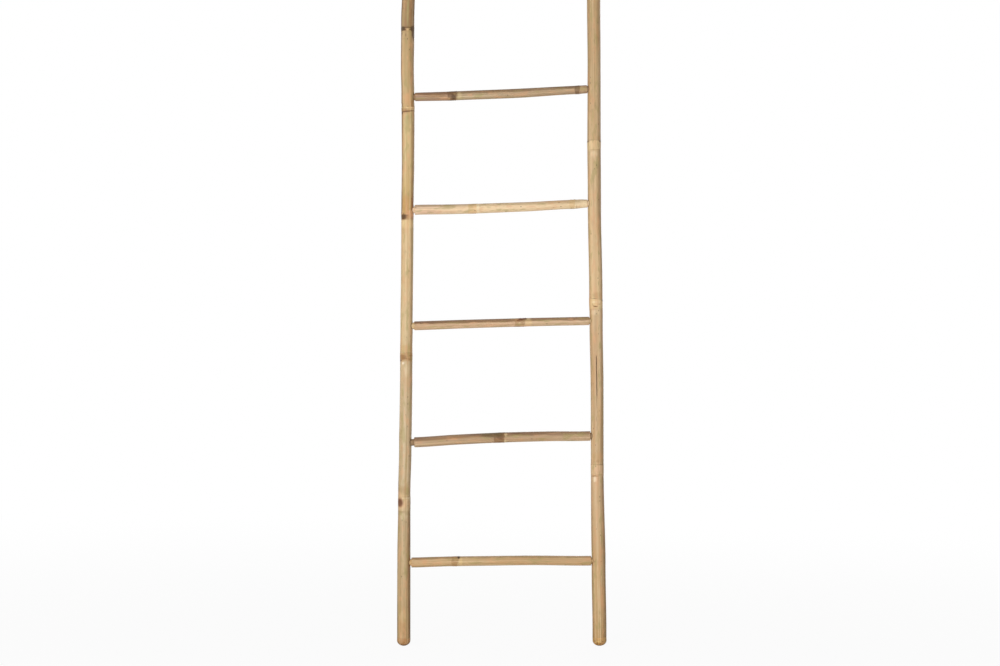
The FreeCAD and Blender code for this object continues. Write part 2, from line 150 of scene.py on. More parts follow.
def smooth_through(at, values, where):
    """Eases through the measured values without swinging past any of them."""
    step = np.diff(at)
    slope = np.diff(values) / step
    lean = np.zeros_like(values)
    rising = slope[:-1] * slope[1:] > 0
    lean[1:-1][rising] = (2 * slope[:-1] * slope[1:])[rising] / (slope[:-1] + slope[1:])[rising]
    k = np.clip(np.searchsorted(at, where, side="right") - 1, 0, len(step) - 1)
    t = np.clip((where - at[k]) / step[k], 0, 1)
    start = values[k] * (1 + 2 * t) + lean[k] * step[k] * t
    end = values[k + 1] * (3 - 2 * t) - lean[k + 1] * step[k] * (1 - t)
    return start * (1 - t) ** 2 + end * t**2


def node_points(node):
    """The corners of a solid of the frame."""
    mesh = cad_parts[node].data
    points = np.empty(len(mesh.vertices) * 3)
    mesh.vertices.foreach_get("co", points)
    return points.reshape(-1, 3)


# What tells a ring of a culm's skin from the rest of its solid.
SAME_RING = 0.004 * MM
LEAST_CORNERS = 30
SKIN_REACH = 0.93
MOST_UNROUND = 0.4 * MM
THINNEST_SKIN = {"rail": 13.5 * MM, "rung": 7.5 * MM}


def skin_rings(points, along, start, thinnest):
    """The rings of a culm's skin, as rows of: how far along, centre, radius."""
    far = (points - start) @ along
    order = np.argsort(far)
    points, far = points[order], far[order]
    cuts = np.flatnonzero(np.diff(far) > SAME_RING) + 1
    rings = []
    for ring, at in zip(np.split(points, cuts), np.split(far, cuts)):
        ring = np.unique(ring.round(6), axis=0)
        if len(ring) < LEAST_CORNERS:
            continue
        out = np.linalg.norm(ring - ring.mean(axis=0), axis=1)
        skin = ring[out > SKIN_REACH * out.max()]
        if len(skin) < LEAST_CORNERS:
            continue
        middle = skin.mean(axis=0)
        out = np.linalg.norm(skin - middle, axis=1)
        if out.mean() > thinnest and np.ptp(out) < MOST_UNROUND:
            rings.append((at.mean(), *middle, out.mean()))
    return np.array(rings)


# How a knot shows in the rings: the skin drops from its lip to its furrow by so much, within so short a way.
LIP_DROP = (0.3 * MM, 0.8 * MM)
LIP_TO_FURROW = 1.6 * MM
LEAST_LIP_ON_RUNG = 1.7 * MM  # under the rung's greatest radius
SAWN_RIM = 1740 * MM  # no knot is above it
KNOT_REACH = 15 * MM
END_REACH = 2 * MM  # corners this near an end of a rung give the middle of that end


class Culm:
    """One bamboo culm: its centre line, its thickness and its knots, measured on its solid."""

    def __init__(self, node, kind):
        self.node, self.kind = node, kind
        points = node_points(node)
        if kind == "rail":
            self.start, self.along = np.zeros(3), np.array([0.0, 0.0, 1.0])
        else:
            across = points[:, 0]
            self.start = points[across < across.min() + END_REACH].mean(axis=0)
            end = points[across > across.max() - END_REACH].mean(axis=0)
            self.along = (end - self.start) / np.linalg.norm(end - self.start)
        self.rings = skin_rings(points, self.along, self.start, THINNEST_SKIN[kind])
        self.knots = self._knots()
        self.low, self.high = self.rings[0][0], self.rings[-1][0]
        if kind == "rail":
            self.low = 0.0
        self.outward = np.array([0.0, -1.0, 0.0])
        self.side = np.cross(self.outward, self.along)

    def _knots(self):
        """Where the lip of each knot is: the ring just before the skin drops into the furrow."""
        at, radius = self.rings[:-1, 0], self.rings[:-1, 4]
        drop, gap = -np.diff(self.rings[:, 4]), np.diff(self.rings[:, 0])
        least = self.rings[:, 4].max() - LEAST_LIP_ON_RUNG if self.kind == "rung" else 0
        steep = (drop > LIP_DROP[0]) & (drop < LIP_DROP[1]) & (gap < LIP_TO_FURROW)
        return at[steep & (at < SAWN_RIM) & (radius > least)]

    def middle(self, at):
        """Points on the centre line."""
        centres = self.rings[:, 1:4]
        aside = centres - self.start - np.outer((centres - self.start) @ self.along, self.along)
        sway = np.stack([smooth_through(self.rings[:, 0], aside[:, k], at) for k in range(3)], axis=-1)
        return self.start + sway + np.outer(at, self.along)

    def thickness(self, at):
        """The radius without the knots: eased through the rings that aren't part of a lip, furrow or ridge."""
        where, radius = self.rings[:, 0], self.rings[:, 4]
        plain = np.ones(len(where), bool)
        for knot in self.knots:
            near = np.abs(where - knot) < KNOT_REACH - 0.1 * MM
            beside = np.interp([knot - KNOT_REACH, knot + KNOT_REACH], where, radius).max()
            plain &= ~(near & (radius > beside + 0.05 * MM))
        return smooth_through(where[plain], radius[plain], at)


# ---- knots, scars and ends


def hump(x, low, high):
    """A soft bump that rises from nothing at low to 1 in the middle and back at high."""
    t = np.clip((x - low) / (high - low), 0, 1)
    return np.sin(math.pi * t) ** 2


def rise(x, low, high):
    """An eased step from 0 at low to 1 at high."""
    t = np.clip((x - low) / (high - low), 0, 1)
    return t * t * (3 - 2 * t)


def bell(x, width):
    """1 at nothing, and falling off softly on both sides."""
    return np.exp(-((x / width) ** 2))


def turn_from(angle, facing):
    """How far round the culm a place is from the side that it faces, -pi to pi."""
    return (angle - facing + math.pi) % (2 * math.pi) - math.pi


# How far a knot's forms stand out of the skin or lie in it, and how ragged its edge is.
LIP, CREASE, SWELLING, SCAR_LINE = 0.3 * MM, 0.28 * MM, 0.34 * MM, 0.1 * MM
BUD_RIM, BUD_PIT = 0.45 * MM, 0.6 * MM
RAGGED = {"rail": 0.22 * MM, "rung": 0.5 * MM}
RADIUS = {"rail": 15 * MM, "rung": 11 * MM}


def fine_at(knots, reach):
    """The fine places of the knots: the sharp edge of each, with its reach, and where its band begins."""
    return [(knot.at + knot.end, reach) for knot in knots] + [(knot.at + knot.start, 1 * MM) for knot in knots]


class Knot:
    """A swollen band that ends where the sheath has left a sharp, uneven edge with a crease beyond it."""

    def __init__(self, culm, at, number):
        looks = KNOTS[culm.node][min(number, len(KNOTS[culm.node]) - 1)]
        self.at, self.kind = at, culm.kind
        self.start, self.end = (place * MM for place in looks["band"])
        self.tone, self.share, self.crease = looks["tone"], looks["share"], looks["crease"]
        self.slant, self.facing = looks.get("slant", 0.5) * MM, math.radians(looks.get("facing", 0))
        self.spots, self.bud = looks["spots"], looks.get("bud")
        self.phase = number * 1.7 + len(culm.node) + ord(culm.node[-1])

    def off(self, at, angle):
        """Distance past the sharp edge along the culm; the band is where it is negative."""
        lean = self.slant * np.cos(angle - self.facing)
        teeth = np.sin(3 * angle + self.phase) + 0.7 * np.sin(7 * angle + 2 * self.phase) + 0.5 * np.sin(13 * angle)
        return at - self.at - self.end - lean - RAGGED[self.kind] * teeth

    def before(self, at, angle):
        """Distance past the place where the band begins, which is a wavy arc."""
        wave = 1.1 * MM * np.cos(angle - self.phase) + 0.4 * MM * np.sin(4 * angle + self.phase)
        return at - self.at - self.start - wave

    def relief(self, at, angle):
        """How far the skin stands out at the knot."""
        off, length = self.off(at, angle), self.end - self.start
        lip = np.where(off < 0, bell(off, 2.2 * MM), bell(off, 0.3 * MM))
        height = LIP * lip - CREASE * bell(off - 0.9 * MM, 0.5 * MM)
        height += SWELLING * hump(off, -1.25 * length, 0.5 * length)
        height += SCAR_LINE * bell(self.before(at, angle), 0.5 * MM)
        if self.bud:
            bud = self.oval(at, angle, RADIUS[self.kind], *self.bud)
            height += BUD_RIM * rise(bud, 0.0, 0.5) - BUD_PIT * rise(bud, 0.6, 1.0)
        return height

    def oval(self, at, angle, radius, turn, along, half_length, half_width):
        """A soft oval: 0 outside it, and the turn, place and sizes as in the table of knots."""
        across = turn_from(angle, math.pi / 2 + math.radians(turn)) * radius / (half_width * MM)
        lengthwise = (at - self.at - along * MM) / (half_length * MM)
        return np.clip(1.3 - np.hypot(across, lengthwise), 0, 1)


# How each knot looks, from the foot up or from left to right. A band runs from one place to another along
# the culm, in mm from the knot of the solid. Turn is in degrees from the front, to the right on a rail and
# downwards on a rung. A spot is: turn, place along, half length, half width, colour, strength. A bud is the
# same without a colour. The sharp edge slants by so many mm, most at the side that it faces, in degrees.
KNOTS = {}
KNOTS["left_rail"] = (
    dict(band=(-14, -1), tone=FOOT_ORANGE, share=0.45, crease=0.1, spots=(
        (20, -8, 6, 9, FOOT_ORANGE, 0.5), (-8, 50, 16, 9, (206, 180, 132), 0.55),
        (-10, 4, 5, 8, (196, 166, 118), 0.5), (-78, 50, 60, 5, DARK_BROWN, 0.6),
        (76, 30, 40, 5, (112, 78, 40), 0.6), (-50, -12, 4, 5, (126, 84, 46), 0.5),
    )),
    dict(band=(-25, 5), tone=STRAW, share=0.35, crease=0.3, slant=1.2, facing=200,
         bud=(-43, -5, 10.5, 8.5), spots=(
        (-10, 20, 16, 18, (170, 138, 86), 0.55), (-56, 14, 11, 5, PINK, 0.85),
        (-36, -2, 21, 19, (228, 190, 144), 0.8), (-43, -5, 12.5, 10.5, (140, 88, 54), 0.9),
        (-44, -5.5, 10, 8.8, (108, 66, 38), 0.95), (30, 6, 1.2, 16, PALE, 0.7),
        # the thin brown line at 28 degrees, 8.6 mm up, is a painted shadow above the pale edge line
        (28, 8.6, 1.0, 16, KNOT_BROWN, 0.5), (-30, -27, 1.0, 9, KNOT_BROWN, 0.6),
        (-5, -38, 9, 10, PALE, 0.3), (78, -20, 34, 6, EDGE_OLIVE, 0.7), (-78, 30, 30, 4, DARK_BROWN, 0.6),
    )),
    dict(band=(-12, 7), tone=(182, 136, 76), share=0.7, crease=0.35, slant=0.8, facing=90, spots=(
        (-5, 17, 10, 22, (196, 156, 92), 0.5), (-46, -2.5, 7.5, 13, (140, 92, 44), 0.8),
        (10, -6, 1.6, 12, KNOT_BROWN, 0.6), (46, 1, 1.8, 6, KNOT_BROWN, 0.7),
        (-62, -10.5, 3, 6, (104, 64, 26), 0.8), (44, -9, 1.2, 9, KNOT_BROWN, 0.7),
        (-30, -17, 3, 3.8, (250, 236, 210), 0.95), (4, -34, 16, 7, PALE, 0.35),
    )),
    dict(band=(-12, 1), tone=(190, 140, 84), share=0.5, crease=0.2, slant=1.6, facing=20,
         bud=(-50, -7, 5, 5), spots=(
        (0, 22, 24, 24, (188, 140, 78), 0.6), (62, 22, 26, 6, (132, 78, 44), 0.8),
        (-72, 26, 30, 6, (104, 72, 32), 0.75), (32, -1, 11, 11, (218, 160, 118), 0.9),
        (-44, -7, 8, 16, (134, 92, 44), 0.8), (-46, -7.5, 6.5, 11.5, (88, 56, 18), 0.97),
        (-12, -3.5, 1.2, 7, DARK_BROWN, 0.7), (-25, -13, 1.2, 12, (116, 76, 32), 0.8),
        (60, -10, 6, 5, (150, 96, 58), 0.6), (0, -25, 11, 20, (236, 210, 154), 0.7),
        (-40, -21, 1, 1.2, DARK_BROWN, 0.7),
    )),
    dict(band=(-4, 8), tone=GOLDEN, share=0.35, crease=0.1, slant=1.0, facing=200, spots=(
        (0, 26, 16, 12, (206, 156, 100), 0.4), (50, 16, 12, 6, (160, 98, 50), 0.7),
        (-72, 20, 22, 5, (120, 80, 40), 0.7), (0, 6.8, 1.6, 22, (232, 200, 144), 0.7),
        (-50, -2.5, 9.5, 17, (146, 98, 48), 0.8), (-18, -2.6, 1.6, 16, (100, 62, 26), 0.9),
        (42, -0.6, 1.4, 13, (116, 72, 32), 0.9), (-66, -5.5, 3, 5, (70, 40, 16), 0.95),
        (6, -23, 15, 13, OLIVE, 0.65), (-76, -34, 26, 4, (120, 78, 42), 0.8),
        (-20, -8.5, 3.5, 9, (214, 180, 132), 0.5),
    )),
    dict(band=(-9, 1), tone=KNOT_BROWN, share=0.4, crease=0.5, slant=0.7, facing=180,
         bud=(-54, -4, 4, 4), spots=(
        (-76, 36, 40, 5, (96, 62, 30), 0.8), (76, 30, 30, 4, DARK_BROWN, 0.7), (2, 40, 40, 3, OLIVE, 0.6),
        (0, -1, 1.4, 20, (96, 60, 26), 0.85), (-50, -3.5, 6, 9.5, (70, 46, 20), 0.97),
        (54, -4, 7, 9.5, (70, 46, 20), 0.97), (66, -13, 20, 9, (84, 54, 24), 0.9),
        (-24, -6.5, 1.8, 4, DARK_BROWN, 0.85), (16, -6, 1.8, 4, DARK_BROWN, 0.8),
        (-55, -14, 5, 2, DARK_BROWN, 0.6), (-15, -19, 4, 1.6, DARK_BROWN, 0.5),
        (2, -6, 3, 4, (222, 186, 132), 0.7),
    )),
    dict(band=(-17, 1), tone=STRAW, share=0.35, crease=0.5, bud=(140, -5, 5, 3.5), spots=(
        (140, -5, 4.5, 3.4, KNOT_BROWN, 0.9), (-40, -6, 4, 8, KNOT_BROWN, 0.5),
    )),
)
KNOTS["right_rail"] = (
    dict(band=(-9, 0), tone=(182, 142, 76), share=0.45, crease=0.06, slant=1.2, facing=190, spots=(
        (-5, -2.5, 1.3, 9, (226, 170, 110), 0.7), (25, -9, 1.5, 2, DARK_BROWN, 0.8),
        (-25, -13, 2, 2, DARK_BROWN, 0.8), (5, -14, 1.6, 3, (120, 92, 40), 0.8),
        (-45, -8, 2, 2.4, DARK_BROWN, 0.6), (-10, -9, 2, 3, (228, 190, 110), 0.8),
    )),
    dict(band=(-27, -2), tone=(226, 192, 146), share=0.5, crease=0.5, slant=0.6, facing=10,
         bud=(-30, -27, 4, 5), spots=(
        (-28, -28.5, 1.5, 10, (140, 94, 50), 0.9), (-24, -36, 7, 5.5, (250, 232, 198), 0.9),
        (10, -14, 9, 10, PINK, 0.35), (0, 7, 3, 5, KNOT_BROWN, 0.45), (35, -25, 1.2, 12, KNOT_BROWN, 0.4),
        (0, 16, 12, 20, (190, 146, 92), 0.35),
    )),
    dict(band=(-23, 1), tone=(240, 208, 148), share=0.6, crease=0.6, slant=2.2, facing=0,
         bud=(-4, -15, 5, 5), spots=(
        (20, 10, 8, 18, (170, 132, 78), 0.55), (72, -2, 2.4, 6, DARK_BROWN, 0.9),
        (-6, -17, 1.4, 7, (132, 86, 40), 0.95), (-26, -13.5, 1.4, 4, KNOT_BROWN, 0.6),
        (26, -11, 1.4, 6, KNOT_BROWN, 0.6), (0, -6, 2, 14, PALE, 0.5), (40, -19, 4, 6, OLIVE, 0.4),
        (-10, -31, 7, 12, PALE, 0.35),
    )),
    dict(band=(-20, 0), tone=(238, 206, 154), share=0.55, crease=0.5, slant=1.8, facing=90, spots=(
        (66, 0, 2, 7, DARK_BROWN, 0.85), (-68, -1, 2, 7, DARK_BROWN, 0.8),
        (0, -20.5, 0.8, 20, (186, 144, 96), 0.45), (-5, -31, 8, 9, PALE, 0.5), (30, -50, 16, 6, OLIVE, 0.5),
        (50, 8, 6, 8, (168, 128, 78), 0.4),
    )),
    dict(band=(-20, 1), tone=CREAM, share=0.5, crease=0.5, bud=(150, -6, 5, 3.5), spots=(
        (150, -6, 4.5, 3.4, KNOT_BROWN, 0.9),
    )),
)
KNOTS["rung_1"] = (
    dict(band=(-14, 0.5), tone=(156, 112, 62), share=0.55, crease=0.1, slant=3.2, facing=0, spots=(
        (-58, 2.5, 3.6, 5.5, (60, 38, 14), 0.97), (0, 7, 4.5, 12, (232, 200, 142), 0.6),
        (0, -78, 6, 8, ORANGE, 0.35),
    )),
)
KNOTS["rung_2"] = (
    dict(band=(-14, 10.5), tone=(136, 98, 60), share=0.8, crease=0.15, slant=1.2, facing=0,
         bud=(-60, 0, 5, 5), spots=(
        (-12, 0, 10, 7, (108, 72, 38), 0.8), (-50, -18, 30, 11, (98, 80, 46), 0.8),
        (50, 12, 3.5, 5, CREAM, 0.7), (-35, 14, 4, 5, (220, 196, 150), 0.7),
        (-42, 70, 46, 5, (120, 88, 60), 0.5), (-50, 40, 16, 3, (110, 78, 50), 0.7),
        (-60, -60, 20, 4, (110, 78, 54), 0.6),
    )),
)
KNOTS["rung_3"] = (
    dict(band=(-15, 9), tone=(162, 128, 82), share=0.55, crease=0.1, slant=2.6, facing=10,
         bud=(-45, 1, 7, 5), spots=(
        (-62, 8, 9, 5, (98, 52, 24), 0.95), (-45, 0, 7, 4.5, (104, 58, 28), 0.95),
        (-26, -6, 4.5, 3.5, (120, 72, 38), 0.85), (0, 18, 9, 10, (236, 204, 150), 0.55),
        (10, -3, 3, 3, CREAM, 0.45), (62, -8, 9, 1.8, (92, 64, 26), 0.75), (-70, -16, 10, 3, OLIVE, 0.7),
        (-55, 18, 5, 4, PALE, 0.5),
    )),
)
KNOTS["rung_4"] = (
    dict(band=(-19, 2), tone=(226, 184, 128), share=0.6, crease=0.06, slant=2.0, facing=40, spots=(
        (0, 5, 3.4, 30, (252, 234, 194), 0.7), (80, -10, 9, 2.2, KNOT_BROWN, 0.6),
        (-40, -60, 14, 6, OLIVE, 0.3), (40, -110, 30, 8, PINK, 0.5),
    )),
    dict(band=(-9, 4), tone=(222, 184, 126), share=0.5, crease=0.04, slant=1.0, facing=0,
         bud=(-84, 0, 6, 6), spots=(
        (60, -4, 1.8, 2.2, KNOT_BROWN, 0.75), (-76, 6, 6, 5, (200, 164, 106), 0.6),
        (55, 8, 1.6, 8, KNOT_BROWN, 0.4),
    )),
)
KNOTS["rung_5"] = (
    dict(band=(-10.5, 11), tone=(106, 76, 44), share=0.72, crease=0.1, slant=1.4, facing=20,
         bud=(-20, 2, 5, 5), spots=(
        (20, 4, 6, 7, (82, 56, 30), 0.75), (-20, 7, 3, 3.5, (156, 124, 84), 0.6),
        (45, -7, 3, 3.5, (186, 156, 114), 0.6), (15, 13, 3, 6, (150, 120, 78), 0.5),
        (10, 19, 5, 12, (214, 190, 146), 0.65), (0, -40, 26, 5, (146, 112, 66), 0.5),
        (-40, 95, 60, 6, (124, 94, 60), 0.4),
    )),
    dict(band=(-1, 9.5), tone=(104, 74, 42), share=0.78, crease=0.1, slant=1.0, facing=20, spots=(
        (-40, -12, 14, 5, (112, 80, 48), 0.7), (-50, -40, 26, 6, (120, 88, 56), 0.6),
        (0, 16, 4, 12, (196, 162, 126), 0.5),
    )),
)
KNOTS["rung_6"] = (
    dict(band=(-13, 7), tone=KNOT_BROWN, share=0.5, crease=0.15, slant=1.5, facing=30,
         bud=(30, 0, 4, 3.4), spots=(
        (30, 0, 3.4, 3, DARK_BROWN, 0.8), (0, 11, 4, 10, CREAM, 0.4),
    )),
)


# ---- making meshes


SHARP_FROM = math.radians(38)


def tube_faces(rows, around):
    """Four-sided faces between rings of points, and one face over each end."""
    k, j = np.meshgrid(np.arange(rows - 1), np.arange(around), indexing="ij")
    a, b = k * around + j, k * around + (j + 1) % around
    sides = np.stack([a, b, b + around, a + around], axis=-1).reshape(-1, 4).tolist()
    ring = list(range(around))
    return sides + [ring[::-1], [(rows - 1) * around + corner for corner in ring]]


def in_scene(name, data):
    """A new object in the scene, of a mesh, a lamp or a camera."""
    holder = bpy.data.objects.new(name, data)
    bpy.context.scene.collection.objects.link(holder)
    return holder


def make_culm(culm, points, places, tone, marks):
    """A culm in the place of its solid, from rows of points with their place in the grain, tone and marks."""
    mesh = bpy.data.meshes.new(culm.node + "_culm")
    mesh.from_pydata(points.reshape(-1, 3).tolist(), [], tube_faces(*points.shape[:2]))
    mesh.shade_smooth()
    mesh.set_sharp_from_angle(angle=SHARP_FROM)
    fibre = mesh.attributes.new("fibre", "FLOAT_VECTOR", "POINT")
    fibre.data.foreach_set("vector", places.astype(np.float32).ravel())
    for name, colour in (("tone", tone), ("marks", marks)):
        opaque = np.concatenate([colour, np.ones((*colour.shape[:2], 1))], axis=2)
        layer = mesh.attributes.new(name, "FLOAT_COLOR", "POINT")
        layer.data.foreach_set("color", opaque.astype(np.float32).ravel())
    piece = in_scene(culm.node + "_culm", mesh)
    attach(piece, "root")
    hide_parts(culm.node)
    return piece


def stations_along(culm, fine):
    """Where the rings of points are: close together within the reach of a fine place, and apart between."""
    at = [culm.low]
    while at[-1] < culm.high:
        near = min(max(abs(at[-1] - place) - reach, 0) for place, reach in fine)
        at.append(at[-1] + min(LONG_STEP[culm.kind], FINE_STEP + near * STEP_GROWTH))
    at[-1] = culm.high
    if at[-1] - at[-2] < 0.1 * MM:
        at.pop(-2)
    return np.array(at)


def around_the_culm(culm, at, angle, radius):
    """Points of a culm's skin for rows of distances, columns of angles and a radius for each."""
    centre = culm.middle(at)[:, None, :]
    spoke = np.cos(angle)[:, None] * culm.side + np.sin(angle)[:, None] * culm.outward
    return centre + radius[:, :, None] * spoke[None, :, :]


GRAIN_SHIFT = 0.37  # metres between the grains of two culms, so that no two look alike


def fibre_place(culm, at, angle, radius):
    """Where each point is along and around its culm, so that the grain runs lengthwise without a seam."""
    x = radius * np.cos(angle)[None, :]
    y = radius * np.sin(angle)[None, :] + CULMS.index(culm.node) * GRAIN_SHIFT
    z = np.broadcast_to(at[:, None], radius.shape)
    return np.stack([x, y, z], axis=-1)


# ---- tones


def internode_tone(culm, rows, turn, knots):
    """The plain tone of each internode, which drifts along it and changes at the crease of each knot."""
    tones = paint(INTERNODE_TONES[culm.node])
    ends = [culm.low, *culm.knots, culm.high]
    tone = np.zeros((*rows.shape, 3))
    for number, (low, high) in enumerate(zip(ends[:-1], ends[1:])):
        first, last = tones[min(number, len(tones) - 1)]
        up = np.clip((rows - low) / (high - low), 0, 1)[..., None]
        past = 1
        if number:
            past = rise(knots[number - 1].off(rows, turn), -0.3 * MM, 0.3 * MM)[..., None]
        tone = tone * (1 - past) + (first * (1 - up) + last * up) * past
    return tone


def mixed(tone, colour, share):
    share = np.clip(share, 0, 1)[..., None]
    return tone * (1 - share) + paint(colour) * share


def browned_and_shaded_edges(culm, at, turn, tone, drift, flecks):
    """A rail's two sides, browner and more olive than its front, by another share in each internode: partly the
    culm's own colour, partly painted shade where the round turns away from the light.
    """
    side = np.degrees(turn_from(turn, math.pi / 2))
    shares = np.array(EDGE_SHARES[culm.node])
    left, right = shares[np.minimum(np.searchsorted(culm.knots, at), len(shares) - 1)].T[..., None]
    tone = mixed(tone, EDGE_BROWN_AND_SHADE, hump(side, 14 + 14 * drift, 120) * (right + 0.2 * flecks))
    tone = mixed(tone, EDGE_OLIVE, 0.45 * hump(side, 40 + 20 * drift, 90) * rise(drift, -0.2, 0.4))
    tone = mixed(tone, EDGE_BROWN_AND_SHADE, hump(side, -120, -26 + 8 * drift) * (left + 0.2 * flecks))
    return mixed(tone, EDGE_OLIVE, 0.35 * rise(np.abs(side), 110, 150))


def weathered_and_shaded_top(culm, at, turn, tone, drift, flecks):
    """A rung's upper side, darkened partly by dust and damp and partly by painted shade, less so towards the right.
    """
    share, reach = RUNG_LOOKS[culm.node][3:]
    share = share * (1 - 0.35 * np.clip(at / culm.high, 0, 1)[:, None])
    level = np.cos(turn_from(turn, 0.12)) + 0.2 * drift + 0.22 * flecks
    tone = mixed(tone, TOP_WEATHER_AND_SHADE_BROWN, share * rise(level, reach, reach + 0.22))
    return mixed(tone, RIDGE_WEATHER_AND_SHADE_BROWN, 0.45 * share * rise(level, 0.86, 0.98))


BAND_BLUR = {"rail": 3.5 * MM, "rung": 1.0 * MM}


def weathered_and_shaded_tone(culm, at, angle, radius, knots):
    """The skin's colour before its grain: sun and handling, with painted shade on the rails' sides and the rungs'
    tops, the bands at the knots, their creases and spots.
    """
    rows, turn = np.meshgrid(at, angle, indexing="ij")
    tone = internode_tone(culm, rows, turn, knots)
    drift, flecks = (
        np.array([noise.noise((a * pace, len(culm.node) * 3.1, culm.start[2] * 5)) for a in at])[:, None]
        for pace in (9, 60)
    )
    # weathering and painted shade: the rails' sides, or the rungs' tops
    weather_and_shade = browned_and_shaded_edges if culm.kind == "rail" else weathered_and_shaded_top
    tone = weather_and_shade(culm, at, turn, tone, drift, flecks)
    blur = BAND_BLUR[culm.kind]
    for knot in knots:
        off, begun = knot.off(rows, turn), knot.before(rows, turn)
        worn = 0.75 + 0.25 * np.cos(3 * turn + knot.phase)
        band = rise(begun, -blur, blur) * (1 - rise(off, -0.4 * MM, 0.2 * MM))
        tone = mixed(tone, knot.tone, knot.share * band)
        tone = mixed(tone, DARK_BROWN, knot.crease * worn * bell(off - 0.5 * MM, 0.9 * MM))
        tone = mixed(tone, KNOT_BROWN, 0.7 * knot.crease * bell(begun, 0.6 * MM) * (1.5 - worn))
        for facing, along, half_length, half_width, colour, share in knot.spots:
            spot = knot.oval(rows, turn, radius, facing, along, half_length, half_width)
            tone = mixed(tone, colour, share * rise(spot, 0.05, 0.75))
    return tone


# ---- rails


def joint_places(rungs):
    """Where each rung's centre line meets the two rails: rows of x and z at its two ends."""
    left = [r.middle(np.array([r.low + 20 * MM]))[0] for r in rungs]
    right = [r.middle(np.array([r.high - 20 * MM]))[0] for r in rungs]
    return np.array(left), np.array(right)


def peg_places(culm):
    """The x and z of each peg that is driven into the back of a rail."""
    side = culm.node.split("_")[0]
    boxes = [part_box(node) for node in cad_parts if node.startswith(side + "_peg_")]
    return [((low[0] + high[0]) / 2, (low[2] + high[2]) / 2) for low, high in boxes]


PROUDEST = 0.65 * MM
FOOT_HEIGHT = 13 * MM
FOOT_FLAT = 0.4 * MM
FIRST_KNOT_SHARE = 0.3  # of the relief, which the rounding of the foot has worn down
TIP_CHAMFER = 1.2 * MM
TIP_WALL = 4.8 * MM
TIP_DEPTHS = (0, 0.4, 1.5, 4, 12, 30, 60)  # mm below the sawn end at which the hollow has rings
MORTISE_RIM = 8.3 * MM
DIMPLE_DEPTH, DIMPLE_RIM = 0.4 * MM, (8.2 * MM, 9.6 * MM)
# a ring of painted shade round each mortise, where the rung goes into the rail
MORTISE_SHADE = (8.4 * MM, 11.5 * MM)
PEG_STAIN = (1.9 * MM, 3.0 * MM)
FOOT_STAIN = (1 * MM, 9 * MM)
# The drying split: hairline from its low end, wider above, and closed again at its high end.
SPLIT = {"rail": "right_rail", "x": 225.8 * MM, "half_width": 0.8 * MM, "depth": 1.8 * MM}
SPLIT_ENDS, SPLIT_WIDENS = (545 * MM, 694 * MM), (590 * MM, 600 * MM)
SPLIT_RADIUS = 15.5 * MM  # of the rail there
ACROSS_SPLIT = (-2.2, -1.1, -0.5, 0, 0.5, 1.1, 2.2)  # half widths from its middle that have points


def split_facing(culm):
    """The angle round the rail at which the drying split shows in front."""
    middle = culm.middle(np.array([640 * MM]))[0][0]
    return math.pi / 2 + math.asin((SPLIT["x"] - middle) / SPLIT_RADIUS)


def rail_angles(culm):
    """Even angles round a rail, with closer ones across the drying split."""
    angle = np.linspace(0, 2 * math.pi, AROUND["rail"], endpoint=False)
    if culm.node != SPLIT["rail"]:
        return angle
    facing, width = split_facing(culm), SPLIT["half_width"] / SPLIT_RADIUS
    clear = angle[np.abs(turn_from(angle, facing)) > 2.6 * width]
    return np.sort(np.concatenate([clear, facing + np.array(ACROSS_SPLIT) * width]))


def split_marks(culm, rows, turn, radius):
    """How deep the drying split gapes and how dark its edges are as painted shade in the crack, 0 to 1."""
    wander = 0.012 * np.sin(rows * 55) + 0.006 * np.sin(rows * 170)
    across = np.abs(turn_from(turn, split_facing(culm) + wander)) * radius / SPLIT["half_width"]
    low, high = SPLIT_ENDS
    open_to = rise(rows, low, low + 50 * MM) * 0.35 + rise(rows, *SPLIT_WIDENS) * 0.65
    open_to *= 1 - rise(rows, high - 6 * MM, high)
    return np.clip(1 - across, 0, 1) * open_to, rise(np.clip(1.5 - across, 0, 1), 0, 0.8) * open_to


def round_mortises(culm, points, joints):
    """How deep a rail is dimpled round its mortises and how much painted shade darkens it there, 0 to 1."""
    facing_in = -np.sign(joints[:, 0].mean())
    dimple = stain_and_shade = np.zeros(points.shape[:2])
    for _, y, z in joints:
        away = np.hypot(points[..., 1] - y, points[..., 2] - z)
        inner = (points[..., 0] - culm.middle(np.array([z]))[0][0]) * facing_in > 0
        dimple = np.maximum(dimple, inner * (1 - rise(away, *DIMPLE_RIM)))
        stain_and_shade = np.maximum(stain_and_shade, inner * (1 - rise(away, *MORTISE_SHADE)))
    return dimple, stain_and_shade


def hollow_tip(culm, angle):
    """The inside of the open tip: rings from the sawn end down to the skin that closes it at the last knot."""
    floor = culm.knots[-1] + 3 * MM
    down = culm.high - np.array(TIP_DEPTHS) * MM
    down = np.append(down[down > floor], floor)
    radius = np.repeat((culm.thickness(down) - TIP_WALL)[:, None], len(angle), axis=1)
    radius += 0.35 * MM * np.sin(2 * angle + 1)[None, :]
    radius[0] += 0.3 * MM
    return down, radius


